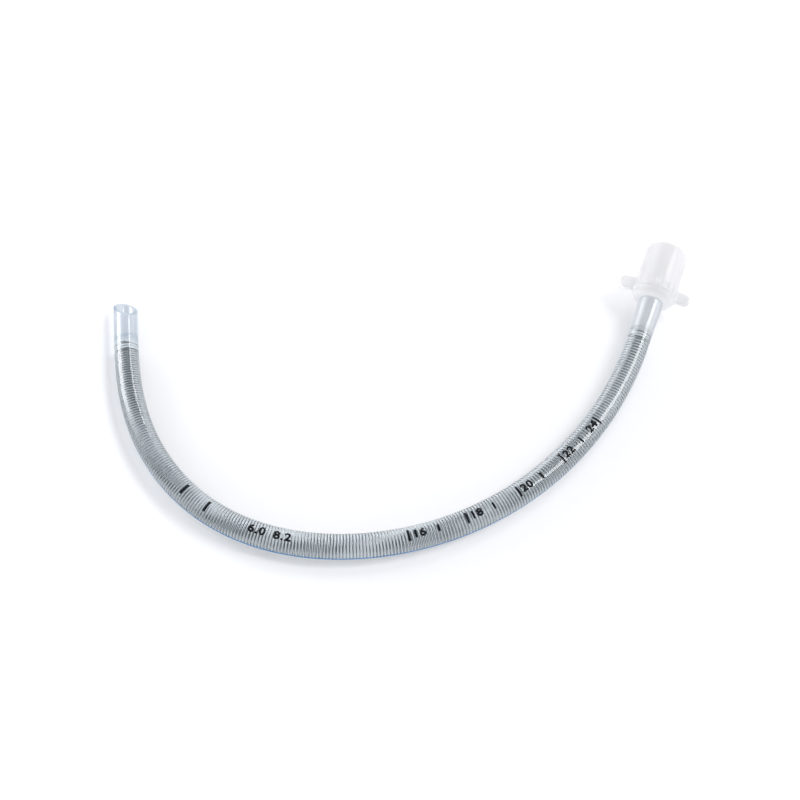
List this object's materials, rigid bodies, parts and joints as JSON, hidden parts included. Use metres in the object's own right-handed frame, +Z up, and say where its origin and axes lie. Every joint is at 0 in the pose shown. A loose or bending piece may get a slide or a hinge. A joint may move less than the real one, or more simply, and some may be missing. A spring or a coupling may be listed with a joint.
{
  "type": "endotracheal tube",
  "caption": "Wire-reinforced clear airway tube lying in a loose U, with a bevelled tip, side eye, blue radiopaque line and a fitted 15 mm cone connector.",
  "frame": {"origin": "on the table, under the middle of the footprint's box", "axes": "+X from the patient's tip towards the connector's side of the U, +Y from the bottom of the U towards its open end, +Z up from the table"},
  "size_m": [0.2006, 0.1414, 0.0175],
  "materials": {
    "clear_liner": "clear soft vinyl, smooth",
    "spring_steel": "drawn stainless spring wire",
    "clear_vinyl": "clear soft vinyl, glossy",
    "blue_vinyl": "blue filled vinyl",
    "milky_polypropylene": "translucent moulded polypropylene"
  },
  "bodies": {
    "root": {"inner_liner": "clear_liner", "reinforcing_coil": "spring_steel", "tube_jacket": "clear_vinyl", "radiopaque_stripe": "blue_vinyl", "connector": "milky_polypropylene"}
  },
  "joints": []
}
